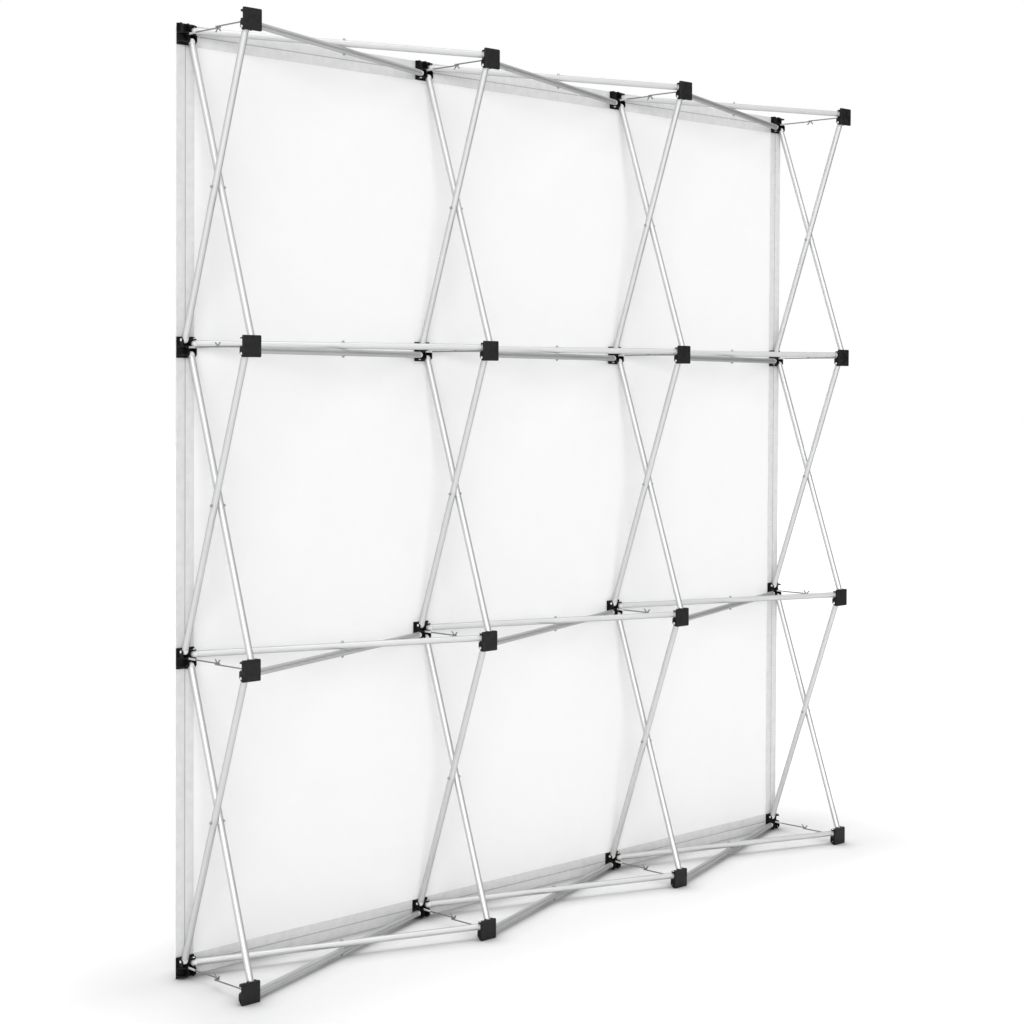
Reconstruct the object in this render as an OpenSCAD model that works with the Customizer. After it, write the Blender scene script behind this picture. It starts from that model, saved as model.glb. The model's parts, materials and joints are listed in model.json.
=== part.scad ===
// Banner wall: a pop-up display frame of three by three scissor bays, seen in use with
// its fabric panel on the front. X runs along the wall, +Y points to the back, where the
// frame is open, and Z is up. The origin is on the floor under the middle of the wall.

/* [Frame] */
// Distance from one hub to the next, along the wall and upwards
hub_spacing = 735; // [450:5:900]
// Distance from the front hubs' outer faces to the rear caps' outer faces
frame_depth = 271; // [220:1:320]

/* [Hubs] */
// Side of the square hub
hub_w = 50; // [48:0.5:60]
// Depth of the hub from its outer face to the ends of its walls
hub_depth = 20; // [19.5:0.25:24]
// Thickness of the hub's outer plate
plate_t = 3; // [2:0.25:4]
// Thickness of the walls on either side of each slot
wall_t = 3; // [2:0.25:3.25]
// Radius of the plate's corners
corner_r = 2; // [0.5:0.25:3]
// Length of the slanted corner at the outer end of each wall
bevel_len = 8; // [4:0.5:8]
// Height of that slanted corner
bevel_h = 9; // [4:0.5:9]
// Distance from the hub's centre to each brace pin, along the brace's slot
pin_inset = 17; // [16.5:0.25:17.5]
// Height of the brace pins above the hub's outer face
pin_depth = 13; // [12:0.25:13.5]
// Diameter of the round boss in the middle
boss_d = 12; // [11:0.5:13]
// Thickness of the square cap on each rear hub
cap_t = 2; // [1:0.25:4]
// Diameter of the cap's spigot
spigot_d = 8; // [5:0.5:12]

/* [Brace tubes] */
// Outer diameter of the tubes
tube_d = 16; // [14:0.25:16.25]
// Wall of the tubes
tube_wall = 1.3; // [0.8:0.1:2]
// Length of the end plug's collar, from its pin to the tube's end
plug_collar = 6; // [4:0.5:9]
// Length of the end plug's spigot inside the tube
plug_spigot = 20; // [10:1:40]
// Thickness of the washer between two crossing tubes
washer_t = 1.2; // [0.8:0.1:1.4]
// Outer diameter of that washer
washer_d = 12; // [9:0.5:14]
// Diameter of the crossing rivets
rivet_d = 4; // [3:0.25:5]
// Diameter of the rivet's collar
rivet_collar_d = 8; // [6:0.25:9]
// Height of the rivet's collar
rivet_collar_h = 1.4; // [0.8:0.1:2]
// Diameter of the rivet's button
rivet_button_d = 6; // [4.5:0.25:6]
// Height of the rivet's button above its collar
rivet_button_h = 3; // [1.5:0.25:3.5]

/* [Hub pins] */
// Diameter of the pins that hold the tube ends
brace_pin_d = 4; // [3:0.25:4.5]
// Diameter of their heads
pin_head_d = 7; // [6:0.25:8]
// Thickness of their heads
pin_head_h = 1.6; // [1:0.1:2.2]
// Diameter of the pins that the lock rods swing on
rod_pin_d = 3; // [2.5:0.1:3.4]

/* [Lock rods] */
// Diameter of the rod wire
wire_d = 3.5; // [2.5:0.1:4]
// Diameter of the sleeve on the front rods
sleeve_d = 5; // [4.5:0.1:5]
// Length of that sleeve
sleeve_len = 27; // [15:1:40]
// Outer diameter of the eye
eye_d = 8; // [7:0.25:8.5]
// Width of the eye along its pin
eye_w = 4.5; // [4:0.1:4.8]
// Length of the rod's straight part, before it slants off to one side of the other rod
rod_straight = 34; // [32:1:60]
// Height of the rod pins above the hub's outer face
rod_pin_depth = 15; // [14.5:0.25:15.5]
// Length of the bent tips
tip_len = 14; // [8:0.5:20]
// Angle of the bent tips
tip_angle = 45; // [30:1:60]
// Angle that each rod can swing
rod_swing = 45; // [30:1:45]

/* [Fabric] */
// Thickness of the fabric panel
fabric_t = 1; // [0.5:0.1:2]
// Width of the tape band sewn round its back
band_w = 50; // [30:1:50]
// Thickness of the tape band
band_t = 1; // [0.5:0.1:2]
// How far the tape band lies inside the panel's edge
band_inset = 1; // [0.5:0.25:3]
// Side of the square hook pads on the outer front hubs
pad_w = 42; // [20:1:44]
// Thickness of the hook pads
pad_t = 1; // [0.5:0.1:2]

/* [Clearances] */
// Gap on each side of a tube in its slot
slot_gap = 0.4; // [0.2:0.05:0.6]
// Gap all round a pin or spigot in its hole
bore_gap = 0.05; // [0.03:0.01:0.08]
// Gap between two hooked rods
rod_gap = 0.2; // [0.1:0.05:0.4]
// Gap all round a rod in its hub
notch_gap = 0.4; // [0.3:0.05:0.6]
// Extra diameter of the wire at its bends
bend_swell = 0.1; // [0.05:0.01:0.1]

/* [Hidden] */
$fn = 48;
bays = 3;
half_bays = bays / 2;
wall_w = bays * hub_spacing + hub_w;
overall_depth = frame_depth + fabric_t + band_t + pad_t;

// Places across the depth of the wall
fabric_y = -overall_depth / 2;
band_y = fabric_y + fabric_t;
pad_y = band_y + band_t;
front_y = pad_y + pad_t;
rear_y = front_y + frame_depth - cap_t;
front_pin_y = front_y + pin_depth;
rear_pin_y = rear_y - pin_depth;
front_rod_y = front_y + rod_pin_depth;
rear_rod_y = rear_y - rod_pin_depth;

// The slot for one brace, whose tube runs beside the hub's centre line
tube_side = (tube_d + washer_t) / 2;
slot_in = tube_side - tube_d / 2 - slot_gap;
slot_out = tube_side + tube_d / 2 + slot_gap;
wall_in = slot_in - wall_t;
wall_out = slot_out + wall_t;
wall_start = plate_t / 2;

// One brace, from pin to pin
brace_run = hub_spacing - 2 * pin_inset;
brace_rise = rear_pin_y - front_pin_y;
brace_len = sqrt(brace_run * brace_run + brace_rise * brace_rise);
brace_tilt = atan2(brace_rise, brace_run);
pin_tail_gap = 0.2;

// One lock rod, from its pin to the middle of the join
rod_reach = (rear_rod_y - front_rod_y) / 2;
rod_step = (wire_d + rod_gap) / 2;
slant_len = rod_reach + rod_step - rod_straight;
tip_reach = 2 * rod_step + tip_len * cos(tip_angle);
hook_side = (rod_step + wire_d + bend_swell + rod_gap) * slant_len / (slant_len - tip_reach);
wire_start = 0.375 * eye_d;

// How far a cut runs past the face that it opens
cut_over = 1;

// Row 1 is the lowest, and column 1 is the one at the +X end
function row_z(row) = hub_w / 2 + (row - 1) * hub_spacing;
function column_x(col) = (half_bays - (col - 1)) * hub_spacing;

module at_hub(row, col, y = 0) {
    translate([column_x(col), y, row_z(row)]) children();
}

// Turns what points up from a hub so that it points along the row, towards -X
module along_row() {
    rotate([0, -90, 0]) children();
}

module square_tile(side, t, r) {
    rotate([-90, 0, 0]) linear_extrude(t) {
        square([side, side - 2 * r], center = true);
        square([side - 2 * r, side], center = true);
        for (x = [-1, 1], z = [-1, 1])
            translate([x, z] * (side / 2 - r)) circle(r);
    }
}

// A hub stands on its outer face, with its walls towards +Y

module slot_wall(x0, z0) {
    translate([x0, 0, 0]) rotate([90, 0, 90]) linear_extrude(wall_t) polygon([
        [wall_start, z0],
        [hub_depth, z0],
        [hub_depth, hub_w / 2 - bevel_len],
        [hub_depth - bevel_h, hub_w / 2],
        [wall_start, hub_w / 2]
    ]);
}

module pin_hole(d, x0, x1, y, z) {
    translate([x0, y, z]) rotate([0, 90, 0]) cylinder(d = d + 2 * bore_gap, h = x1 - x0);
}

// The wedge that a lock rod sweeps as it swings up or down from the middle of the hub
module rod_notch() {
    reach = sleeve_d / 2 + notch_gap;
    floor_y = rod_pin_depth - reach / cos(rod_swing);
    top_y = hub_depth + cut_over;
    top_z = (top_y - floor_y) * tan(rod_swing);
    notch_w = max(eye_w, sleeve_d) + 2 * notch_gap;
    translate([-notch_w / 2, 0, 0]) rotate([90, 0, 90])
        linear_extrude(notch_w) {
            polygon([[floor_y, 0], [top_y, top_z], [top_y, -top_z]]);
            translate([rod_pin_depth, 0]) circle(d = eye_d + 2 * notch_gap);
        }
}

module hub() {
    difference() {
        union() {
            square_tile(hub_w, plate_t, corner_r);
            for (turn = [0:3]) rotate([0, -90 * turn, 0]) {
                slot_wall(wall_in, 0);
                slot_wall(slot_out, -wall_in);
            }
            rotate([-90, 0, 0]) cylinder(d = boss_d, h = hub_depth);
        }
        for (turn = [0:3]) rotate([0, -90 * turn, 0])
            pin_hole(brace_pin_d, wall_in - bore_gap, wall_out + cut_over, pin_depth, pin_inset);
        rod_notch();
        pin_hole(rod_pin_d, -boss_d / 2, boss_d / 2, rod_pin_depth, 0);
        rotate([-90, 0, 0]) translate([0, 0, -cut_over])
            cylinder(d = spigot_d + 2 * bore_gap, h = plate_t + cut_over);
    }
}

module front_hubs(row) {
    color([0.10, 0.10, 0.11])
        for (col = [1:bays + 1]) at_hub(row, col, front_y) hub();
}

module rear_hubs(row) {
    color([0.10, 0.10, 0.11])
        for (col = [1:bays + 1]) at_hub(row, col, rear_y) rotate([0, 0, 180]) hub();
}

module rear_hub_caps() {
    color([0.17, 0.17, 0.18])
        for (row = [1:bays + 1], col = [1:bays + 1]) at_hub(row, col, rear_y) {
            square_tile(hub_w, cap_t, corner_r);
            rotate([90, 0, 0]) cylinder(d = spigot_d, h = plate_t - bore_gap);
        }
}

// The two tubes of a scissor pair lie on either side of the hubs' centre plane. Side 1 goes
// from the front hub below to the rear hub above, and side -1 from the rear to the front.

module on_brace(side) {
    start_y = side > 0 ? front_pin_y : rear_pin_y;
    translate([side * tube_side, start_y, pin_inset])
        rotate([-side * brace_tilt, 0, 0]) children();
}

module cross_bore(d) {
    rotate([0, 90, 0]) cylinder(d = d + 2 * bore_gap, h = 2 * tube_d, center = true);
}

module brace_tube(side) {
    on_brace(side) difference() {
        translate([0, 0, plug_collar]) cylinder(d = tube_d, h = brace_len - 2 * plug_collar);
        cylinder(d = tube_d - 2 * tube_wall, h = brace_len);
        translate([0, 0, brace_len / 2]) cross_bore(rivet_d);
    }
}

module end_plug() {
    difference() {
        rotate_extrude() {
            intersection() {
                circle(d = tube_d);
                translate([0, -tube_d]) square(tube_d);
            }
            square([tube_d / 2, plug_collar]);
            square([tube_d / 2 - tube_wall - bore_gap, plug_collar + plug_spigot]);
        }
        cross_bore(brace_pin_d);
    }
}

module brace_plugs(side) {
    on_brace(side) {
        end_plug();
        translate([0, 0, brace_len]) mirror([0, 0, 1]) end_plug();
    }
}

module headed_pin() {
    tail = tube_side - wall_in - pin_tail_gap;
    head = wall_out - tube_side;
    rotate([0, 90, 0]) {
        translate([0, 0, -tail]) cylinder(d = brace_pin_d, h = tail + head);
        translate([0, 0, head]) cylinder(d = pin_head_d, h = pin_head_h);
    }
}

module brace_pins(side) {
    on_brace(side) for (end = [0, brace_len]) translate([0, 0, end])
        mirror([side > 0 ? 0 : 1, 0, 0]) headed_pin();
}

// The middle of a scissor pair, with its axis through both tubes
module at_crossing() {
    translate([0, (front_pin_y + rear_pin_y) / 2, hub_spacing / 2]) rotate([0, 90, 0]) children();
}

module crossing_rivet() {
    reach = tube_side + tube_d / 2;
    at_crossing() {
        cylinder(d = rivet_d, h = 2 * reach, center = true);
        for (end = [0, 1]) mirror([0, 0, end]) translate([0, 0, reach]) {
            cylinder(d = rivet_collar_d, h = rivet_collar_h);
            translate([0, 0, rivet_collar_h]) cylinder(d = rivet_button_d, h = rivet_button_h);
        }
    }
}

module crossing_washer() {
    at_crossing() difference() {
        cylinder(d = washer_d, h = washer_t, center = true);
        cylinder(d = rivet_d + 2 * bore_gap, h = 2 * washer_t, center = true);
    }
}

module row_pair(row, bay) {
    at_hub(row, bay) along_row() children();
}

module column_pair(col, bay) {
    at_hub(bay, col) children();
}

module every_row_pair() {
    for (row = [1:bays + 1], bay = [1:bays]) row_pair(row, bay) children();
}

module every_column_pair() {
    for (col = [1:bays + 1], bay = [1:bays]) column_pair(col, bay) children();
}

module row_braces(row) {
    color([0.80, 0.81, 0.82])
        for (bay = [1:bays], side = [-1, 1]) row_pair(row, bay) brace_tube(side);
}

module column_braces(col) {
    color([0.80, 0.81, 0.82])
        for (bay = [1:bays], side = [-1, 1]) column_pair(col, bay) brace_tube(side);
}

module row_brace_plugs() {
    color([0.90, 0.90, 0.89]) every_row_pair() for (side = [-1, 1]) brace_plugs(side);
}

module column_brace_plugs() {
    color([0.90, 0.90, 0.89]) every_column_pair() for (side = [-1, 1]) brace_plugs(side);
}

module row_brace_pins() {
    color([0.86, 0.87, 0.88]) every_row_pair() for (side = [-1, 1]) brace_pins(side);
}

module column_brace_pins() {
    color([0.86, 0.87, 0.88]) every_column_pair() for (side = [-1, 1]) brace_pins(side);
}

module crossing_rivets() {
    color([0.70, 0.71, 0.72]) {
        every_row_pair() crossing_rivet();
        every_column_pair() crossing_rivet();
    }
}

module crossing_washers() {
    color([0.88, 0.88, 0.87]) {
        every_row_pair() crossing_washer();
        every_column_pair() crossing_washer();
    }
}

module rod_pins() {
    length = boss_d - 2 * pin_tail_gap;
    color([0.70, 0.71, 0.72])
        for (row = [1:bays + 1], col = [1:bays + 1], y = [front_rod_y, rear_rod_y])
            at_hub(row, col, y) rotate([0, 90, 0]) cylinder(d = rod_pin_d, h = length, center = true);
}

// A lock rod starts at its pin and runs towards +Y. Its wire slants past one side of the
// other rod's hook, crosses behind that hook, and ends in a tip that is bent up.

module round_bar(from, to, d) {
    run = to - from;
    translate(from)
        rotate([0, acos(run.z / norm(run)), atan2(run.y, run.x)])
            cylinder(d = d, h = norm(run));
}

module wire_path(points) {
    for (i = [1:len(points) - 1]) {
        round_bar(points[i - 1], points[i], wire_d);
        translate(points[i]) sphere(d = wire_d + bend_swell);
    }
}

module lock_rod(sleeved) {
    start = [0, wire_start, 0];
    straight_end = [0, rod_straight, 0];
    bend = [-hook_side, rod_straight + slant_len, 0];
    turn = [rod_step, bend.y, 0];
    tip = turn + tip_len * [0, cos(tip_angle), sin(tip_angle)];
    difference() {
        union() {
            rotate([0, 90, 0]) cylinder(d = eye_d, h = eye_w, center = true);
            wire_path([start, straight_end, bend, turn, tip]);
            if (sleeved) round_bar(start, start + [0, sleeve_len, 0], sleeve_d);
        }
        rotate([0, 90, 0]) cylinder(d = rod_pin_d + 2 * bore_gap, h = 2 * eye_w, center = true);
    }
}

// In the top row the rods are hooked the other way up
module hooked_way(row) {
    mirror([0, 0, row > bays ? 1 : 0]) children();
}

module front_rod(row, col) {
    color([0.55, 0.56, 0.58]) at_hub(row, col, front_rod_y) hooked_way(row) lock_rod(true);
}

module rear_rod(row, col) {
    color([0.55, 0.56, 0.58]) at_hub(row, col, rear_rod_y)
        hooked_way(row) rotate([0, 0, 180]) lock_rod(false);
}

module fabric_panel() {
    color([0.96, 0.96, 0.96])
        translate([-wall_w / 2, fabric_y, 0]) cube([wall_w, fabric_t, wall_w]);
}

module tape_band() {
    outer = wall_w - 2 * band_inset;
    color([0.86, 0.86, 0.86])
        translate([0, band_y, wall_w / 2]) rotate([-90, 0, 0]) linear_extrude(band_t) difference() {
            square(outer, center = true);
            square(outer - 2 * band_w, center = true);
        }
}

module hook_pads() {
    color([0.25, 0.25, 0.26])
        for (row = [1:bays + 1], col = [1:bays + 1])
            if (row == 1 || row > bays || col == 1 || col > bays)
                at_hub(row, col, pad_y) square_tile(pad_w, pad_t, corner_r);
}

fabric_panel();
tape_band();
hook_pads();
rear_hub_caps();
for (row = [1:bays + 1]) {
    front_hubs(row);
    rear_hubs(row);
    row_braces(row);
}
for (col = [1:bays + 1])
    column_braces(col);
row_brace_plugs();
column_brace_plugs();
crossing_rivets();
crossing_washers();
row_brace_pins();
column_brace_pins();
rod_pins();
for (row = [1:bays + 1], col = [1:bays + 1]) {
    front_rod(row, col);
    rear_rod(row, col);
}
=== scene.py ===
import json
import math

import bmesh
import bpy
from bpy.props import FloatProperty, FloatVectorProperty, IntProperty, PointerProperty
from bpy.types import Operator, Panel, PropertyGroup
from mathutils import Matrix, Vector


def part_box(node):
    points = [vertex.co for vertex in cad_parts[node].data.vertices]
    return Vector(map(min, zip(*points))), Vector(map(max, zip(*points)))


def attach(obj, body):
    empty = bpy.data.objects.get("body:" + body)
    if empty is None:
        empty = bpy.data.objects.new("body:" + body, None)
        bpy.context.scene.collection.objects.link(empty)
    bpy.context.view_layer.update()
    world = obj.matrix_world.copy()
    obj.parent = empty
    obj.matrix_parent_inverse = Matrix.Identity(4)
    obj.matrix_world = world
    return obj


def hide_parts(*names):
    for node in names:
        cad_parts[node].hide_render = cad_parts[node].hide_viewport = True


bl_info = {
    "name": "Pop-up display wall",
    "version": (1, 0, 0),
    "blender": (4, 5, 0),
    "location": "View3D > Sidebar > Display Wall",
    "description": "Dresses a folding display frame and its fabric panel, seen from behind",
    "category": "Add Mesh",
}

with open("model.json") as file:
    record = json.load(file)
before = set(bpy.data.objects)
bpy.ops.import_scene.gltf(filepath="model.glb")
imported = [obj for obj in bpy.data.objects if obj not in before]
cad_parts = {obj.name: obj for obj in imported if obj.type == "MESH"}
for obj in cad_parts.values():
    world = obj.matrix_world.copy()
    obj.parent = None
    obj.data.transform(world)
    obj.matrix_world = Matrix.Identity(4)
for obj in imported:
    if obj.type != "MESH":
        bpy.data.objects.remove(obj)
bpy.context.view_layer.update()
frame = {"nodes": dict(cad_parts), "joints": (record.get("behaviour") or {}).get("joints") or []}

MM = 0.001
ALONG_Z = Matrix.Identity(4)
ALONG_X = Matrix.Rotation(math.radians(90), 4, "Y")
ALONG_Y = Matrix.Rotation(math.radians(-90), 4, "X")
ALONG_ROW = Matrix.Rotation(math.radians(-90), 4, "Y")
HALF_TURN_X = Matrix.Rotation(math.pi, 4, "X")
HALF_TURN_Z = Matrix.Rotation(math.pi, 4, "Z")
ROWS = COLUMNS = (1, 2, 3, 4)
BAYS = (1, 2, 3)
OUTER_HUBS = [(row, column) for row in ROWS for column in COLUMNS
              if row in (1, 4) or column in (1, 4)]
SQUARE_CORNERS = ((-1, -1), (1, -1), (1, 1), (-1, 1))


# Places, from the frame

def rod_places():
    """Each lock rod's pin, by (layer, row, column)."""
    places = {}
    for joint in frame["joints"]:
        layer, _, _, row, _, column = joint["child"].split("_")
        places[layer, int(row), int(column)] = Vector(joint["pos_m"])
    return places


ROD_PINS = rod_places()
COLUMN_X = {c: ROD_PINS["front", 1, c].x for c in COLUMNS}
ROW_Z = {r: ROD_PINS["front", r, 1].z for r in ROWS}
ROW_PITCH = ROW_Z[2] - ROW_Z[1]
FRONT_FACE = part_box("front_hubs_row_1")[0].y
REAR_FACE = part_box("rear_hubs_row_1")[1].y
HUB_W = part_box("front_hubs_row_1")[1].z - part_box("front_hubs_row_1")[0].z
CAP_LOW, CAP_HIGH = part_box("rear_hub_caps")
PANEL_LOW, PANEL_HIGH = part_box("fabric_panel")
PANEL_MIDDLE = (PANEL_LOW + PANEL_HIGH) / 2
BAND_LOW, BAND_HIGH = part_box("tape_band")
PAD_LOW, PAD_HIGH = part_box("hook_pads")


def at_hub(row, column, y=0.0):
    """A hub's place, at a depth."""
    return Matrix.Translation((COLUMN_X[column], y, ROW_Z[row]))


# Sizes and colours that a user can change

def size(label, about, millimetres, low=0.01, high=100.0):
    return FloatProperty(name=label, description=about, default=millimetres * MM,
                         min=low * MM, max=high * MM, precision=5, unit="LENGTH")


def shade(label, about, colour):
    return FloatVectorProperty(name=label, description=about, default=colour, size=3,
                               min=0.0, max=1.0, subtype="COLOR")


def angle(label, about, degrees):
    return FloatProperty(name=label, description=about, default=math.radians(degrees),
                         subtype="ANGLE")


def share(label, about, amount):
    return FloatProperty(name=label, description=about, default=amount, min=0.0)


def direction(label, about, comes_from):
    return FloatVectorProperty(name=label, description=about, default=comes_from, size=3,
                               subtype="DIRECTION")


class WallHubSettings(PropertyGroup):
    edge_round: size("Edge round", "Radius of the hubs' moulded edges", 0.35)
    cap_round: size("Cap edge round", "Radius of the caps' front edges", 0.9)
    cap_corner: size("Cap corner", "Radius of the caps' four corners", 3.0)
    cap_crown: size("Cap crown", "How far the middle of a cap stands above its rim", 0.15)
    spigot_d: size("Cap spigot", "Diameter of the spigot that holds a cap", 8)
    colour: shade("Hub colour", "Black moulded plastic", (0.005, 0.005, 0.0053))
    cap_colour: shade("Cap colour", "Black grained plastic", (0.010, 0.010, 0.0104))


class WallBraceSettings(PropertyGroup):
    tube_d: size("Tube diameter", "Outer diameter of the brace tubes", 16)
    tube_wall: size("Tube wall", "Thickness of the tubes' wall", 1.3)
    tube_rim: size("Tube rim", "Chamfer round each tube's end", 0.35)
    washer_t: size("Washer", "Gap between two crossing tubes", 1.2)
    pin_inset: size("Pin inset", "From a hub's centre to its brace pins", 17)
    pin_depth: size("Pin depth", "Height of the brace pins above the hub's outer face", 13)
    plug_collar: size("Plug collar", "From the pin to the tube's end", 6)
    rivet_d: size("Rivet diameter", "Shank of the crossing rivets", 4)
    rivet_collar_d: size("Rivet collar", "Diameter of the rivets' collar", 8)
    rivet_collar_h: size("Rivet collar height", "Height of the rivets' collar", 1.4)
    rivet_button_d: size("Rivet button", "Diameter of the rivets' button", 6)
    rivet_button_h: size("Rivet button height", "Height of the button above its collar", 3)
    pin_d: size("Pin diameter", "Diameter of the brace pins", 4)
    pin_head_d: size("Pin head", "Diameter of the pins' heads", 7)
    pin_head_h: size("Pin head height", "Thickness of the pins' heads", 1.6)
    slot_gap: size("Slot gap", "Gap on each side of a tube in its hub", 0.4)
    slot_wall: size("Slot wall", "Thickness of the hubs' walls", 3)
    colour: shade("Tube colour", "Satin anodised aluminium", (0.64, 0.643, 0.647))
    plug_colour: shade("Plug colour", "Light grey plastic", (0.72, 0.72, 0.70))
    pin_colour: shade("Pin colour", "Bright steel", (0.80, 0.81, 0.82))
    rivet_colour: shade("Rivet colour", "Turned steel", (0.40, 0.403, 0.407))


class WallRodSettings(PropertyGroup):
    wire_d: size("Wire diameter", "Diameter of the lock rods' wire", 3.5)
    bend_r: size("Bend radius", "Radius of the wire's bends, at its middle", 3.2)
    eye_d: size("Eye diameter", "Outer diameter of the eye round the pin", 8)
    eye_w: size("Eye width", "Width of the eye along its pin", 4.5)
    pin_d: size("Rod pin", "Diameter of the pin that a rod swings on", 3)
    straight: size("Straight part", "From the pin to where the wire slants off", 34)
    gap: size("Hook gap", "Gap between two hooked rods", 0.2)
    tip: size("Tip", "Length of the bent tip", 14)
    tip_angle: angle("Tip angle", "How far the tip is bent", 45)
    sleeve_d: size("Sleeve diameter", "Diameter of the sleeve on the front rods", 5)
    sleeve: size("Sleeve length", "Length of that sleeve", 27)
    colour: shade("Wire colour", "Drawn steel", (0.25, 0.25, 0.255))
    sleeve_colour: shade("Sleeve colour", "Light grey plastic", (0.62, 0.62, 0.60))


class WallPanelSettings(PropertyGroup):
    ripple: size("Ripple", "Height of the cloth's ripples round each pad", 0.14)
    ripple_reach: size("Ripple reach", "How far the ripples spread from a pad", 160, high=1000)
    hem: size("Hem", "Width of the turned edge", 9)
    squares: IntProperty(name="Squares", description="Faces along each side of the cloth",
                         default=96, min=8, max=200)
    tape_w: size("Tape width", "Width of the tape along each edge", 50)
    groove: size("Seam groove", "Depth of the groove under the stitches", 0.45)
    groove_w: size("Seam width", "Width of that groove", 2.2)
    stitch_pitch: size("Stitch pitch", "From one stitch to the next", 4.9)
    stitch_l: size("Stitch length", "Length of one stitch", 2.4)
    stitch_w: size("Stitch width", "Width of a stitch across the tape", 2.7)
    stitch_h: size("Stitch height", "Thickness of the thread", 0.7)
    pad_corner: size("Pad corner", "Radius of the hook pads' corners", 2)
    colour: shade("Cloth colour", "White knitted polyester", (0.96, 0.96, 0.96))
    tape_colour: shade("Tape colour", "Light grey loop tape", (0.75, 0.75, 0.75))
    thread_colour: shade("Thread colour", "Dark grey thread", (0.03, 0.03, 0.03))
    hook_colour: shade("Hook tape colour", "Black hook tape", (0.03, 0.03, 0.031))


class WallStageSettings(PropertyGroup):
    floor: FloatProperty(name="Floor", description="Side of the floor", default=60.0,
                         unit="LENGTH")
    ambient: share("Ambient", "Strength of the light from all round", 0.34)
    key: share("Key light", "Share of the light that the main lamp gives", 0.59)
    key_from: direction("Key from", "Where the main lamp's light comes from", (0.62, 0.76, 0.20))
    key_soft: angle("Key softness", "How wide the main lamp looks", 44)
    fill: share("Fill light", "Share of light on the panel's front", 0.56)
    fill_from: direction("Fill from", "Where the front's light comes from", (-0.4, -0.9, 0.04))
    fill_soft: angle("Fill softness", "How wide the front's lamp looks", 40)
    top: share("Top light", "Share of light from above", 0.38)
    top_from: direction("Top from", "Where the light from above comes from", (0.05, 0.12, 1.0))
    top_soft: angle("Top softness", "How wide the lamp above looks", 34)
    camera_at: FloatVectorProperty(name="Camera", description="Where the camera stands",
                                   default=(3.6024, 3.6298, 1.4168), size=3,
                                   subtype="TRANSLATION")
    yaw: angle("Yaw", "The camera's turn from facing the panel's back", -43.435)
    pitch: angle("Pitch", "The camera's tilt above the horizon", -1.23)
    roll: angle("Roll", "The camera's turn about its own line of sight", 0.264)
    lens: FloatProperty(name="Lens", description="Focal length in millimetres", default=66.27)
    rise: FloatProperty(name="Vertical shift", description="Shift of the picture",
                        default=-0.0875)


# Meshes

def smooth_by_angle(mesh, degrees=34):
    mesh.shade_smooth()
    mesh.set_sharp_from_angle(angle=math.radians(degrees))
    return mesh


def mesh_from(name, bm, materials, degrees=34):
    """A smooth-shaded mesh from a bmesh, which is then freed."""
    mesh = bpy.data.meshes.new(name)
    bm.to_mesh(mesh)
    bm.free()
    for material in materials:
        mesh.materials.append(material)
    return smooth_by_angle(mesh, degrees)


def mesh_of(name, bm, material, degrees=34):
    """A smooth mesh of loose faces, which it joins and turns outwards."""
    bmesh.ops.remove_doubles(bm, verts=bm.verts, dist=1e-7)
    bmesh.ops.recalc_face_normals(bm, faces=bm.faces)
    return mesh_from(name, bm, [material], degrees)


def in_order(bm):
    """The same faces in the order of their places, which bevelling leaves to chance."""
    verts = sorted(bm.verts, key=lambda vert: tuple(vert.co))
    number = {vert: index for index, vert in enumerate(verts)}
    rings = []
    for face in bm.faces:
        ring = [number[vert] for vert in face.verts]
        first = ring.index(min(ring))
        rings.append(ring[first:] + ring[:first])
    ordered = bmesh.new()
    verts = [ordered.verts.new(vert.co) for vert in verts]
    for ring in sorted(rings):
        ordered.faces.new([verts[index] for index in ring])
    bm.free()
    return ordered


def new_object(name, data):
    made = bpy.data.objects.new(name, data)
    bpy.context.scene.collection.objects.link(made)
    return made


def stack(bm, loops, cyclic=False):
    """Faces between loops of points that lie one behind the other."""
    rings = [[bm.verts.new(point) for point in loop] for loop in loops]
    for low, high in zip(rings, rings[1:] + (rings[:1] if cyclic else [])):
        for i in range(len(low)):
            j = (i + 1) % len(low)
            bm.faces.new((low[i], low[j], high[j], high[i]))
    return rings


def closed_stack(bm, loops):
    """Stacked loops, with a face over each end."""
    rings = stack(bm, loops)
    bm.faces.new(rings[0])
    bm.faces.new(rings[-1])


def circle(radius, sides):
    """Points round a circle, as pairs."""
    turns = [2 * math.pi * i / sides for i in range(sides)]
    return [(radius * math.cos(turn), radius * math.sin(turn)) for turn in turns]


def lathe(name, profile, sides, material, hollow=False):
    """A turned piece about Z, from (radius, height) points. Its UV map runs round and along it."""
    bm = bmesh.new()
    loops = [[(x, y, z) for x, y in circle(radius, sides)] for radius, z in profile]
    if hollow:
        stack(bm, loops, cyclic=True)
    else:
        closed_stack(bm, loops)
    uv = bm.loops.layers.uv.new("Turned")
    for face in bm.faces:
        middle = face.calc_center_median()
        centre = math.atan2(middle.y, middle.x)
        for loop in face.loops:
            turn = math.atan2(loop.vert.co.y, loop.vert.co.x)
            turn += 2 * math.pi * round((centre - turn) / (2 * math.pi))
            loop[uv].uv = (turn / (2 * math.pi) + 0.5, loop.vert.co.z)
    return mesh_of(name, bm, material)


def domed(radius, top, steps):
    """Profile points that go in from a rim and up to a top, by (in, down) steps in millimetres."""
    return [(radius - inset * MM, top - drop * MM) for inset, drop in steps]


def rounded_square(side, radius, y, steps=4):
    """Points round a square with round corners, in a plane at y."""
    reach = side / 2 - radius
    points = []
    for quarter in range(4):
        corner = Matrix.Rotation(math.radians(90 * quarter), 2) @ Vector((reach, reach))
        for step in range(steps + 1):
            turn = math.radians(90 * quarter + 90 * step / steps)
            points.append((corner.x + radius * math.cos(turn), y,
                           corner.y + radius * math.sin(turn)))
    return points


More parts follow.
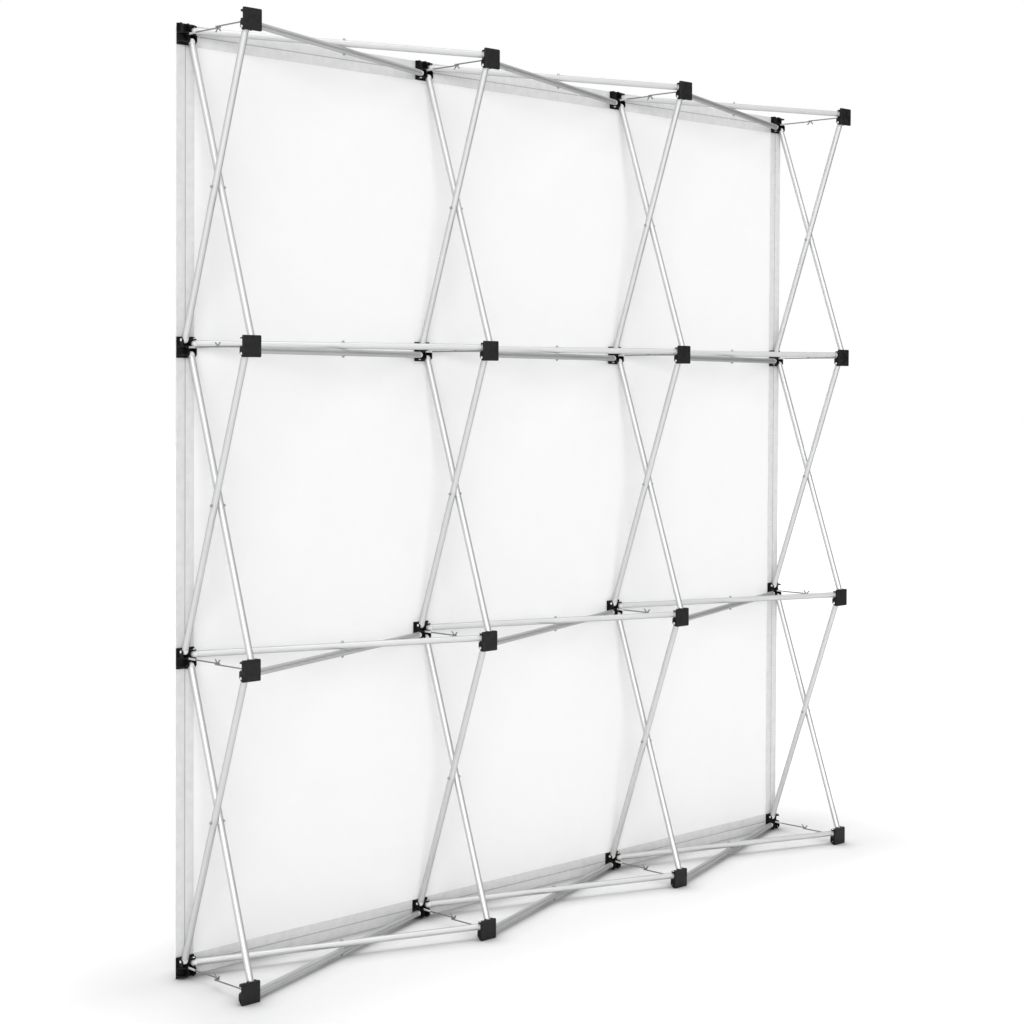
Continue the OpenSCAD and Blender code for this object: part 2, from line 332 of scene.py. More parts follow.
def joined(name, parts, materials):
    """One mesh from (mesh, matrix, material index) parts."""
    bm = bmesh.new()
    for mesh, matrix, index in parts:
        copy = mesh.copy()
        copy.transform(matrix)
        first = len(bm.faces)
        bm.from_mesh(copy)
        bm.faces.ensure_lookup_table()
        for face in bm.faces[first:]:
            face.material_index = index
        bpy.data.meshes.remove(copy)
    return mesh_from(name, bm, materials)


def path_mesh(name, points, cyclic=False):
    edges = [(i, i + 1) for i in range(len(points) - 1)]
    if cyclic:
        edges.append((len(points) - 1, 0))
    base = bpy.data.meshes.new(name)
    base.from_pydata(points, edges, [])
    return base


# Geometry Nodes

def feed(tree, node, inputs):
    """Sets a node's inputs, or joins them to other nodes' outputs."""
    for name, value in inputs.items():
        if isinstance(value, bpy.types.NodeSocket):
            tree.links.new(value, node.inputs[name])
        else:
            node.inputs[name].default_value = value


def output_of(tree, kind, inputs, output=0, **settings):
    """An output of a new node with these inputs and settings."""
    node = tree.nodes.new(kind)
    for name, value in settings.items():
        setattr(node, name, value)
    feed(tree, node, inputs)
    return node.outputs[output]


def node_tree(name, sockets):
    """An empty tree with named inputs, its input node's sockets, and a function that ends it."""
    tree = bpy.data.node_groups.new(name, "GeometryNodeTree")
    for label, kind in {"Geometry": "Geometry", **sockets, "Finish": "Material"}.items():
        tree.interface.new_socket(name=label, in_out="INPUT", socket_type="NodeSocket" + kind)
    tree.interface.new_socket(name="Geometry", in_out="OUTPUT", socket_type="NodeSocketGeometry")
    inputs = tree.nodes.new("NodeGroupInput").outputs

    def end(geometry):
        real = output_of(tree, "GeometryNodeRealizeInstances", {"Geometry": geometry})
        painted = output_of(tree, "GeometryNodeSetMaterial", {
            "Geometry": real, "Material": inputs["Finish"]})
        feed(tree, tree.nodes.new("NodeGroupOutput"), {"Geometry": painted})

    return tree, inputs, end


def copies_tree():
    """Puts a copy of one piece at each point, turned by the point's turn."""
    tree, inputs, end = node_tree("Copies at places", {"Piece": "Object"})
    piece = output_of(tree, "GeometryNodeObjectInfo", {"Object": inputs["Piece"]}, "Geometry")
    turn = output_of(tree, "GeometryNodeInputNamedAttribute", {"Name": "turn"}, "Attribute",
                     data_type="FLOAT_VECTOR")
    rotation = output_of(tree, "FunctionNodeEulerToRotation", {"Euler": turn})
    end(output_of(tree, "GeometryNodeInstanceOnPoints", {
        "Points": inputs["Geometry"], "Instance": piece, "Rotation": rotation}))


def wire_tree():
    """Bends a round wire along a path, with a radius at each corner."""
    tree, inputs, end = node_tree("Bent wire", {
        "Radius": "Float", "Bend radius": "Float", "Bend steps": "Int", "Sides": "Int"})
    path = output_of(tree, "GeometryNodeMeshToCurve", {"Mesh": inputs["Geometry"]})
    bent = output_of(tree, "GeometryNodeFilletCurve", {
        "Curve": path, "Count": inputs["Bend steps"], "Radius": inputs["Bend radius"],
        "Limit Radius": True}, mode="POLY")
    ring = output_of(tree, "GeometryNodeCurvePrimitiveCircle", {
        "Resolution": inputs["Sides"], "Radius": inputs["Radius"]}, mode="RADIUS")
    end(output_of(tree, "GeometryNodeCurveToMesh", {
        "Curve": bent, "Profile Curve": ring, "Fill Caps": True}))


def stitch_tree():
    """Lays stitches along a path."""
    tree, inputs, end = node_tree("Stitches on a path", {
        "Pitch": "Float", "Stitch size": "Vector"})
    path = output_of(tree, "GeometryNodeMeshToCurve", {"Mesh": inputs["Geometry"]})
    spaced = output_of(tree, "GeometryNodeResampleCurve", {
        "Curve": path, "Length": inputs["Pitch"]}, mode="LENGTH")
    along = output_of(tree, "GeometryNodeInputTangent", {})
    rotation = output_of(tree, "FunctionNodeAlignRotationToVector", {"Vector": along}, axis="X")
    bead = output_of(tree, "GeometryNodeMeshUVSphere", {"Segments": 6, "Rings": 4, "Radius": 0.5})
    end(output_of(tree, "GeometryNodeInstanceOnPoints", {
        "Points": spaced, "Instance": bead, "Rotation": rotation,
        "Scale": inputs["Stitch size"]}))


def grown(name, base, tree_name, values):
    """The mesh that a tree makes from a base mesh, with the tree's named inputs set."""
    tree = bpy.data.node_groups[tree_name]
    host = new_object(name, base)
    modifier = host.modifiers.new(tree.name, "NODES")
    modifier.node_group = tree
    for item in tree.interface.items_tree:
        if item.in_out == "INPUT" and item.name in values:
            modifier[item.identifier] = values[item.name]
    graph = bpy.context.evaluated_depsgraph_get()
    mesh = bpy.data.meshes.new_from_object(host.evaluated_get(graph),
                                           preserve_all_data_layers=True, depsgraph=graph)
    mesh.name = name
    bpy.data.objects.remove(host)
    bpy.data.meshes.remove(base)
    return mesh


def copies(name, pattern, places, finish):
    """Copies of a pattern mesh at each place, a list of matrices, as one mesh."""
    base = bpy.data.meshes.new(name + "_places")
    base.from_pydata([place.translation for place in places], [], [])
    turn = base.attributes.new("turn", "FLOAT_VECTOR", "POINT")
    turn.data.foreach_set("vector", [v for place in places for v in place.to_euler()])
    model = new_object(name + "_pattern", pattern)
    mesh = grown(name, base, "Copies at places", {"Piece": model, "Finish": finish})
    bpy.data.objects.remove(model)
    return mesh


def stand_for(piece, node, body="frame"):
    """The piece takes the place of a CAD node, and stays within a millimetre of its box."""
    allowed = 1.0 * MM
    low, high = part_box(node)
    for axis in range(3):
        reach = [corner[axis] for corner in piece.bound_box]
        if min(reach) < low[axis] - allowed or max(reach) > high[axis] + allowed:
            raise ValueError(f"{piece.name} leaves the box of {node} along axis {axis}")
    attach(piece, body)
    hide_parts(node)
    return piece


def lay_copies(name, pattern, places, finish, node):
    """A piece made of copies of a pattern, which stands for a CAD node."""
    stand_for(new_object(name, copies(name, pattern, places, finish)), node)


# Materials

def new_finish(name):
    """A material, its node tree, its shader and its object coordinates."""
    material = bpy.data.materials.new(name)
    material.use_nodes = True
    tree = material.node_tree
    coords = output_of(tree, "ShaderNodeTexCoord", {}, "Object")
    return material, tree, tree.nodes["Principled BSDF"], coords


def noise(tree, coords, scale, detail=3.0, stretch=None):
    """Noise whose spots are about 1/scale metres across, drawn out by stretch."""
    if stretch:
        coords = output_of(tree, "ShaderNodeMapping", {"Vector": coords, "Scale": stretch})
    return output_of(tree, "ShaderNodeTexNoise", {
        "Vector": coords, "Scale": scale, "Detail": detail}, "Fac")


def wave(tree, coords, scale, distortion, bands):
    """Slightly uneven bands."""
    return output_of(tree, "ShaderNodeTexWave", {
        "Vector": coords, "Scale": scale, "Distortion": distortion, "Detail": 1,
        "Detail Scale": 1.5}, "Fac", bands_direction=bands)


def mottled(tree, value, colour, darkest, lightest):
    """The colour, from its darkest to its lightest share as the value rises."""
    made = output_of(tree, "ShaderNodeValToRGB", {"Fac": value})
    ends = made.node.color_ramp.elements
    for end, position, amount in ((ends[0], 0.35, darkest), (ends[1], 0.65, lightest)):
        end.position = position
        end.color = (*(min(1.0, max(0.0, c * amount)) for c in colour), 1)
    return made


def spread(tree, value, low, high, start=0.3, end=0.7, **settings):
    """The value, from start to end, spread from low to high."""
    return output_of(tree, "ShaderNodeMapRange", {
        "Value": value, "From Min": start, "From Max": end, "To Min": low, "To Max": high},
        **settings)


def relief(tree, height, depth, strength, below=None):
    inputs = {"Height": height, "Distance": depth, "Strength": strength}
    if below is not None:
        inputs["Normal"] = below
    return output_of(tree, "ShaderNodeBump", inputs)


def math_of(tree, operation, first, second):
    return output_of(tree, "ShaderNodeMath", {0: first, 1: second}, operation=operation)


def vector_of(tree, operation, *vectors, output="Vector"):
    return output_of(tree, "ShaderNodeVectorMath", dict(enumerate(vectors)), output,
                     operation=operation)


def plastic_finish(name, colour, grain, gloss, shine=0.5, mottle=0.15):
    """Moulded plastic with a fine grain, slight flow marks and rubbed patches."""
    material, tree, shader, coords = new_finish(name)
    patches = noise(tree, coords, scale=90, detail=6)
    fine = noise(tree, coords, scale=1500)
    flow = noise(tree, coords, scale=90, stretch=(1, 1, 4))
    flow_marks = relief(tree, flow, depth=0.05 * MM, strength=0.5)
    feed(tree, shader, {
        "Base Color": mottled(tree, patches, colour, 1 - mottle, 1 + mottle),
        "Roughness": spread(tree, patches, gloss - 0.06, gloss + 0.08),
        "Normal": relief(tree, fine, depth=grain, strength=0.6, below=flow_marks),
        "Specular IOR Level": shine})
    return material


def tube_finish(name, colour):
    """Satin aluminium with die lines that run along the tube, from its own UV map."""
    material, tree, shader, coords = new_finish(name)
    turned = output_of(tree, "ShaderNodeUVMap", {}, uv_map="Turned")
    lines = noise(tree, turned, scale=1.0, detail=2, stretch=(70, 1.5, 1))
    hair = noise(tree, turned, scale=1.0, detail=2, stretch=(340, 6, 1))
    blotch = noise(tree, coords, scale=9, detail=2)
    die_lines = relief(tree, lines, depth=0.03 * MM, strength=0.4)
    feed(tree, shader, {
        "Base Color": mottled(tree, blotch, colour, 0.965, 1.0),
        "Roughness": spread(tree, hair, 0.43, 0.53),
        "Normal": relief(tree, hair, depth=0.006 * MM, strength=0.5, below=die_lines),
        "Metallic": 0.8,
        "Specular Tint": (0.1, 0.1, 0.1, 1)})
    return material


def steel_finish(name, colour, roughness=0.34, drawn=None):
    """Steel with fine lines, drawn out along a wire, and darker specks."""
    material, tree, shader, coords = new_finish(name)
    lines = noise(tree, coords, scale=700, stretch=drawn)
    specks = noise(tree, coords, scale=160, detail=4)
    feed(tree, shader, {
        "Base Color": mottled(tree, specks, colour, 0.82, 1.05),
        "Roughness": spread(tree, lines, roughness - 0.06, roughness + 0.1),
        "Normal": relief(tree, lines, depth=0.02 * MM, strength=0.5),
        "Metallic": 0.85})
    return material


def cloth_finish(name, colour):
    """Smooth knitted polyester: fine ribs one way, rows of loops the other."""
    material, tree, shader, coords = new_finish(name)
    ribs = wave(tree, coords, scale=260, distortion=1.2, bands="X")
    rows = wave(tree, coords, scale=200, distortion=1.5, bands="Z")
    knit = math_of(tree, "MULTIPLY", ribs, rows)
    feed(tree, shader, {
        "Base Color": mottled(tree, noise(tree, coords, scale=14), colour, 0.985, 1.0),
        "Normal": relief(tree, knit, depth=0.12 * MM, strength=0.35),
        "Roughness": 0.85,
        "Sheen Weight": 0.15})
    return material


def pile_finish(name, colour, loop_size):
    """Woven tape with a low pile of loops or hooks."""
    material, tree, shader, coords = new_finish(name)
    loops = output_of(tree, "ShaderNodeTexVoronoi", {
        "Vector": coords, "Scale": 1 / loop_size}, "Distance")
    matted = noise(tree, coords, scale=45, detail=4)
    feed(tree, shader, {
        "Base Color": mottled(tree, matted, colour, 0.95, 1.03),
        "Normal": relief(tree, loops, depth=0.35 * MM, strength=0.5),
        "Roughness": 0.9,
        "Sheen Weight": 0.25})
    return material


def thread_finish(name, colour):
    """Twisted sewing thread."""
    material, tree, shader, coords = new_finish(name)
    ply = noise(tree, coords, scale=2600, detail=2)
    feed(tree, shader, {
        "Base Color": mottled(tree, ply, colour, 0.8, 1.15),
        "Normal": relief(tree, ply, depth=0.08 * MM, strength=0.6),
        "Roughness": 0.7})
    return material


# Braces: where each tube, pin and rivet lies

ROW_PAIRS = {row: [at_hub(row, bay) @ ALONG_ROW for bay in BAYS] for row in ROWS}
COLUMN_PAIRS = {column: [at_hub(bay, column) for bay in BAYS] for column in COLUMNS}


class BraceLayout:
    """The scissor pairs' sizes, worked out from the settings and the frame."""

    def __init__(self, sizes):
        self.side = (sizes.tube_d + sizes.washer_t) / 2
        self.front = FRONT_FACE + sizes.pin_depth
        self.rear = REAR_FACE - sizes.pin_depth
        self.inset = sizes.pin_inset
        self.pitch = COLUMN_X[1] - COLUMN_X[2]
        run = self.pitch - 2 * self.inset
        self.length = math.hypot(run, self.rear - self.front)
        self.tilt = math.atan2(self.rear - self.front, run)

    def brace(self, pair, side):
        """A frame at the brace's first pin, with Z along the brace."""
        start = Vector((side * self.side, self.front if side > 0 else self.rear, self.inset))
        return pair @ Matrix.Translation(start) @ Matrix.Rotation(-side * self.tilt, 4, "X")

    def crossing(self, pair):
        """A frame at the pair's middle, with Z along the rivet."""
        middle = Vector((0, (self.front + self.rear) / 2, self.pitch / 2))
        return pair @ Matrix.Translation(middle) @ ALONG_X

    def pins(self, pair):
        """A frame at each pin, with Z towards its head."""
        ends = [Matrix.Translation((0, 0, end)) for end in (0, self.length)]
        return [self.brace(pair, side) @ end @ outwards
                for side, outwards in ((-1, ALONG_X @ HALF_TURN_X), (1, ALONG_X)) for end in ends]


# Operators

class WALL_OT_hubs(Operator):
    """Makes the moulded hubs, with their edges rounded."""
    bl_idname = "wall.hubs"
    bl_label = "Hubs"

    def pattern(self, sizes, finish):
        """One hub from the frame, standing on its outer face at the origin."""
        bm = bmesh.new()
        bm.from_mesh(frame["nodes"]["front_hubs_row_1"].data)
        place = at_hub(1, 1, FRONT_FACE).translation
        others = [v for v in bm.verts if (v.co - place).length > HUB_W]
        bmesh.ops.delete(bm, geom=others, context="VERTS")
        bmesh.ops.translate(bm, vec=-place, verts=bm.verts)
        same, level, sharp = 0.002 * MM, math.radians(0.5), math.radians(40)
        bmesh.ops.remove_doubles(bm, verts=bm.verts, dist=same)
        bmesh.ops.dissolve_limit(bm, angle_limit=level, verts=bm.verts, edges=bm.edges)
        edges = [e for e in bm.edges if len(e.link_faces) == 2 and e.calc_face_angle() > sharp
                 and e.calc_length() > 2 * sizes.edge_round]
        bmesh.ops.bevel(bm, geom=edges, offset=sizes.edge_round, offset_type="OFFSET",
                        segments=2, profile=0.5, affect="EDGES", clamp_overlap=True)
        bmesh.ops.triangulate(bm, faces=[f for f in bm.faces if len(f.verts) > 4])
        return mesh_of("hub_pattern", in_order(bm), finish, degrees=30)

    def execute(self, context):
        sizes = context.scene.wall_hubs
        finish = plastic_finish("hub_plastic", sizes.colour, grain=0.06 * MM, gloss=0.42,
                                shine=0.16, mottle=0.3)
        pattern = self.pattern(sizes, finish)
        for layer, y, turn in (("front", FRONT_FACE, ALONG_Z), ("rear", REAR_FACE, HALF_TURN_Z)):
            for row in ROWS:
                places = [at_hub(row, column, y) @ turn for column in COLUMNS]
                lay_copies(f"{layer}_hub_mouldings_row_{row}", pattern, places, finish,
                           f"{layer}_hubs_row_{row}")
        return {"FINISHED"}


class WALL_OT_caps(Operator):
    """Makes the square caps on the rear hubs."""
    bl_idname = "wall.caps"
    bl_label = "Rear caps"

    def execute(self, context):
        sizes = context.scene.wall_hubs
        finish = plastic_finish("cap_plastic", sizes.cap_colour, grain=0.12 * MM, gloss=0.5,
                                shine=0.24, mottle=0.45)
        corner, edge, crown = sizes.cap_corner, sizes.cap_round, sizes.cap_crown
        rim = CAP_HIGH.y - REAR_FACE - crown
        loops = [rounded_square(HUB_W, corner, 0)]
        edge_steps = 3
        for step in range(edge_steps + 1):
            turn = math.radians(90 * step / edge_steps)
            side = HUB_W - 2 * edge * (1 - math.cos(turn))
            loops.append(rounded_square(side, corner, rim - edge * (1 - math.sin(turn))))
        for across in (0.8, 0.6, 0.35, 0.12):
            side, height = HUB_W * across, rim + crown * (1 - across * across)
            loops.append(rounded_square(side, min(corner, side / 3), height))
        bm = bmesh.new()
        closed_stack(bm, loops)
        spigot = circle(sizes.spigot_d / 2, sides=24)
        closed_stack(bm, [[(x, y, z) for x, z in spigot] for y in (0, CAP_LOW.y - REAR_FACE)])
        pattern = mesh_of("cap_pattern", bm, finish, degrees=30)
        places = [at_hub(row, column, REAR_FACE) for row in ROWS for column in COLUMNS]
        lay_copies("rear_cap_tiles", pattern, places, finish, "rear_hub_caps")
        return {"FINISHED"}


class WALL_OT_braces(Operator):
    """Makes the aluminium brace tubes, and paints the plugs in their ends."""
    bl_idname = "wall.braces"
    bl_label = "Brace tubes and plugs"

    def execute(self, context):
        sizes = context.scene.wall_braces
        layout = BraceLayout(sizes)
        finish = tube_finish("tube_aluminium", sizes.colour)
        outer, inner, rim = sizes.tube_d / 2, sizes.tube_d / 2 - sizes.tube_wall, sizes.tube_rim
        low, high = sizes.plug_collar, layout.length - sizes.plug_collar
        lengths = 9
        outside = [(outer, low + rim + (high - low - 2 * rim) * i / lengths)
                   for i in range(lengths + 1)]
        profile = [(inner, low), (outer - rim, low), *outside, (outer - rim, high), (inner, high)]
        pattern = lathe("tube_pattern", profile, sides=36, material=finish, hollow=True)
        groups = {f"row_braces_row_{r}": pairs for r, pairs in ROW_PAIRS.items()}
        groups |= {f"column_braces_column_{c}": pairs for c, pairs in COLUMN_PAIRS.items()}
        for node, pairs in groups.items():
            places = [layout.brace(pair, side) for pair in pairs for side in (-1, 1)]
            lay_copies(node.replace("braces", "brace_tubes"), pattern, places, finish, node)
        plug = plastic_finish("plug_plastic", sizes.plug_colour, grain=0.02 * MM, gloss=0.4)
        for node in ("row_brace_plugs", "column_brace_plugs", "crossing_washers"):
            frame["nodes"][node].data.materials[0] = plug
        return {"FINISHED"}


class WALL_OT_fasteners(Operator):
    """Makes the headed brace pins and the crossing rivets, and paints the rod pins."""
    bl_idname = "wall.fasteners"
    bl_label = "Pins and rivets"

    def pin(self, sizes, finish):
        """A pin through a tube's end, with a domed head outside the hub's wall."""
        shank, head = sizes.pin_d / 2, sizes.pin_head_d / 2
        seat = sizes.tube_d / 2 + sizes.slot_gap + sizes.slot_wall
        lead, short = 0.4 * MM, 0.2 * MM
        foot, top = short - seat, seat + sizes.pin_head_h
        dimple_r, dimple_foot_r, dimple = 0.9 * MM, 0.5 * MM, 0.25 * MM
        profile = [(shank - lead, foot), (shank, foot + lead), (shank, seat), (head, seat),
                   *domed(head, top, ((0, 0.9), (0.3, 0.45), (0.9, 0.15), (1.8, 0))),
                   (dimple_r, top), (dimple_foot_r, top - dimple)]
        return lathe("pin_pattern", profile, sides=20, material=finish)

    def rivet(self, sizes, layout, finish):
        """A rivet through both tubes, with a collar and a domed button at each end."""
        shank, button = sizes.rivet_d / 2, sizes.rivet_button_d / 2
        collar = sizes.rivet_collar_d / 2
        seat = layout.side + sizes.tube_d / 2
        shelf = seat + sizes.rivet_collar_h
        top = shelf + sizes.rivet_button_h
        under, under_h, rim, flat = 0.2 * MM, 0.25 * MM, 0.35 * MM, 0.7 * MM
        half = [(shank, seat), (collar - under, seat), (collar, seat + under_h),
                (collar, shelf - rim), (collar - rim, shelf), (button, shelf),
                *domed(button, top, ((0, 1.3), (0.45, 0.5), (1.3, 0.08))), (flat, top)]
        profile = [(r, -z) for r, z in reversed(half)] + half
        return lathe("rivet_pattern", profile, sides=20, material=finish)

    def execute(self, context):
        sizes = context.scene.wall_braces
        layout = BraceLayout(sizes)
        pin_steel = steel_finish("pin_steel", sizes.pin_colour, roughness=0.26)
        rivet_steel = steel_finish("rivet_steel", sizes.rivet_colour, roughness=0.24)
        row_pairs, column_pairs = sum(ROW_PAIRS.values(), []), sum(COLUMN_PAIRS.values(), [])
        pin = self.pin(sizes, pin_steel)
        for node, pairs in (("row_brace_pins", row_pairs), ("column_brace_pins", column_pairs)):
            places = [place for pair in pairs for place in layout.pins(pair)]
            lay_copies(node.replace("pins", "headed_pins"), pin, places, pin_steel, node)
        places = [layout.crossing(pair) for pair in row_pairs + column_pairs]
        lay_copies("crossing_button_rivets", self.rivet(sizes, layout, rivet_steel), places,
                   rivet_steel, "crossing_rivets")
        frame["nodes"]["rod_pins"].data.materials[0] = pin_steel
        return {"FINISHED"}


class WALL_OT_lock_rods(Operator):
    """Makes the hooked lock rods, each on its own pin."""
    bl_idname = "wall.lock_rods"
    bl_label = "Lock rods"

    def pattern(self, sizes, wire, sleeve, sleeved, up):
        """A rod from its pin at the origin towards +Y, with its tip bent up or down."""
        reach = (ROD_PINS["rear", 1, 1].y - ROD_PINS["front", 1, 1].y) / 2
        step = (sizes.wire_d + sizes.gap) / 2
        slant = reach + step - sizes.straight
        tip_reach = 2 * step + sizes.tip * math.cos(sizes.tip_angle)
        hook_side = (step + sizes.wire_d + sizes.gap) * slant / (slant - tip_reach)
        in_eye_wall = 0.3
        start = in_eye_wall * sizes.eye_d
        turn = Vector((step, reach + step, 0))
        tip = turn + up * sizes.tip * Vector((0, 0, math.sin(sizes.tip_angle)))
        tip.y += sizes.tip * math.cos(sizes.tip_angle)
        path = [(0, start, 0), (0, sizes.straight, 0), (-hook_side, reach + step, 0), turn, tip]
        bar = grown("rod_wire", path_mesh("rod_path", path), "Bent wire", {
            "Radius": sizes.wire_d / 2, "Bend radius": sizes.bend_r, "Bend steps": 6,
            "Sides": 14, "Finish": wire})
        clearance, rim = 0.05 * MM, 0.5 * MM
        bore, outer, half = sizes.pin_d / 2 + clearance, sizes.eye_d / 2, sizes.eye_w / 2
        side = [(bore, -half), (outer - rim, -half), (outer, rim - half), (outer, half - rim),
                (outer - rim, half), (bore, half)]
        eye = lathe("rod_eye", side, sides=28, material=wire, hollow=True)
        parts = [(bar, ALONG_Z, 0), (eye, ALONG_X, 0)]
        if sleeved:
            radius, length = sizes.sleeve_d / 2, sizes.sleeve
            side = [(radius - rim, 0), (radius, rim), (radius, length - rim),
                    (radius - rim, length)]
            tube = lathe("rod_sleeve", side, sides=20, material=sleeve)
            parts.append((tube, Matrix.Translation((0, start, 0)) @ ALONG_Y, 1))
        return joined("rod_pattern", parts, [wire, sleeve])

    def execute(self, context):
        sizes = context.scene.wall_rods
        wire = steel_finish("rod_steel", sizes.colour, drawn=(6, 1, 6))
        sleeve = plastic_finish("sleeve_plastic", sizes.sleeve_colour, grain=0.02 * MM,
                                gloss=0.45)
        patterns = {(layer, up): self.pattern(sizes, wire, sleeve, layer == "front", up)
                    for layer in ("front", "rear") for up in (-1, 1)}
        for (layer, row, column), pin in ROD_PINS.items():
            mesh = patterns[layer, -1 if row == ROWS[-1] else 1].copy()
            turn = HALF_TURN_Z if layer == "rear" else ALONG_Z
            mesh.transform(Matrix.Translation(pin) @ turn)
            node = f"{layer}_rod_row_{row}_column_{column}"
            stand_for(new_object(node.replace("rod", "lock_rod"), mesh), node, node)
        return {"FINISHED"}


class WALL_OT_panel(Operator):
    """Makes the white cloth panel, with its turned edge and its ripples round the pads."""
    bl_idname = "wall.panel"
    bl_label = "Cloth panel"

    def ripple(self, x, z, sizes):
        """How far the cloth sinks at a point, which is most next to the pads."""
        spokes, sunk = 8, 0.0
        for row, column in OUTER_HUBS:
            away = Vector((x - COLUMN_X[column], z - ROW_Z[row]))
            fan = 0.5 + 0.5 * math.cos(spokes * math.atan2(away.y, away.x))
            sunk += fan * math.exp(-away.length / sizes.ripple_reach)
        return sizes.ripple * min(1.0, sunk)

    def execute(self, context):
        sizes = context.scene.wall_panel
        finish = cloth_finish("panel_cloth", sizes.colour)
        low, high = PANEL_LOW, PANEL_HIGH
        width, thick, hem, squares = high.x - low.x, high.y - low.y, sizes.hem, sizes.squares
        edge = 0.25 * thick
        inner = [hem + (width - 2 * hem) * i / squares for i in range(1, squares)]
        marks = [0, edge, hem, *inner, width - hem, width - edge, width]
        last = len(marks) - 1

        def sink(i, j):
            if i in (0, last) or j in (0, last):
                return edge
            if i in (1, last - 1) or j in (1, last - 1):
                return 0.0
            return self.ripple(low.x + marks[i], low.z + marks[j], sizes)

        def grid(depth):
            return [[bm.verts.new((low.x + across, depth(sink(i, j)), low.z + up))
                     for j, up in enumerate(marks)] for i, across in enumerate(marks)]

        bm = bmesh.new()
        back = grid(lambda sunk: high.y - sunk)
        front = grid(lambda sunk: low.y + min(sunk, thick - edge))
        for i in range(last):
            for j in range(last):
                for side in (back, front):
                    bm.faces.new((side[i][j], side[i][j + 1], side[i + 1][j + 1],
                                  side[i + 1][j]))
        rim = [(i, 0) for i in range(last)] + [(last, j) for j in range(last)]
        rim += [(i, last) for i in range(last, 0, -1)] + [(0, j) for j in range(last, 0, -1)]
        for (i, j), (k, m) in zip(rim, rim[1:] + rim[:1]):
            bm.faces.new((back[i][j], back[k][m], front[k][m], front[i][j]))
        stand_for(new_object("panel_cloth", mesh_of("panel_cloth", bm, finish)), "fabric_panel")
        return {"FINISHED"}


class WALL_OT_tape(Operator):
    """Makes the loop tape sewn round the panel's back, its stitches and the hook pads."""
    bl_idname = "wall.tape"
    bl_label = "Tape, stitches and pads"

    def band(self, sizes, half, finish):
        """The tape: two flat strips with the seam's groove between them, mitred at the corners."""
        width, seam, dip = sizes.tape_w, sizes.tape_w / 2, sizes.groove_w / 2
        top, edge = BAND_HIGH.y - BAND_LOW.y, 0.3 * MM
        foot = top - sizes.groove
        profile = [(0, 0), (0, top - edge), (edge, top), (seam - 2 * dip, top),
                   (seam - dip / 2, foot), (seam + dip / 2, foot), (seam + 2 * dip, top),
                   (width - edge, top), (width, top - edge), (width, 0)]
        bm = bmesh.new()
        stack(bm, [self.square(half - inset, BAND_LOW.y + height) for inset, height in profile],
              cyclic=True)
        return mesh_of("panel_tape", bm, finish)

    def square(self, reach, y):
        """The corners of a square about the panel's middle."""
        return [(sx * reach, y, PANEL_MIDDLE.z + sz * reach) for sx, sz in SQUARE_CORNERS]

    def pads(self, sizes, finish):
        """A square of hook tape on each outer hub's face."""
        side, thick = PAD_HIGH.z - PAD_LOW.z - 3 * ROW_PITCH, PAD_HIGH.y - PAD_LOW.y
        edge = 0.2 * MM
        bm = bmesh.new()
        closed_stack(bm, [rounded_square(side - 2 * inset, sizes.pad_corner, y)
                          for inset, y in ((edge, 0), (0, edge), (0, thick - edge),
                                           (edge, thick))])
        places = [at_hub(row, column, PAD_LOW.y) for row, column in OUTER_HUBS]
        lay_copies("hook_pad_tiles", mesh_of("pad_pattern", bm, finish), places, finish,
                   "hook_pads")

    def execute(self, context):
        sizes = context.scene.wall_panel
        half = (BAND_HIGH.x - BAND_LOW.x) / 2
        tape = pile_finish("loop_tape", sizes.tape_colour, loop_size=1.1 * MM)
        band = stand_for(new_object("panel_tape", self.band(sizes, half, tape)), "tape_band")
        thread = thread_finish("sewing_thread", sizes.thread_colour)
        seat = BAND_HIGH.y - sizes.groove + 0.25 * sizes.stitch_h
        path = path_mesh("seam", self.square(half - sizes.tape_w / 2, seat), cyclic=True)
        stitches = grown("panel_stitches", path, "Stitches on a path", {
            "Pitch": sizes.stitch_pitch, "Finish": thread,
            "Stitch size": (sizes.stitch_l, sizes.stitch_h, sizes.stitch_w)})
        seam = new_object("panel_stitches", smooth_by_angle(stitches, degrees=60))
        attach(seam, "frame")
        self.pads(sizes, pile_finish("hook_tape", sizes.hook_colour, loop_size=1.6 * MM))
        return {"FINISHED"}


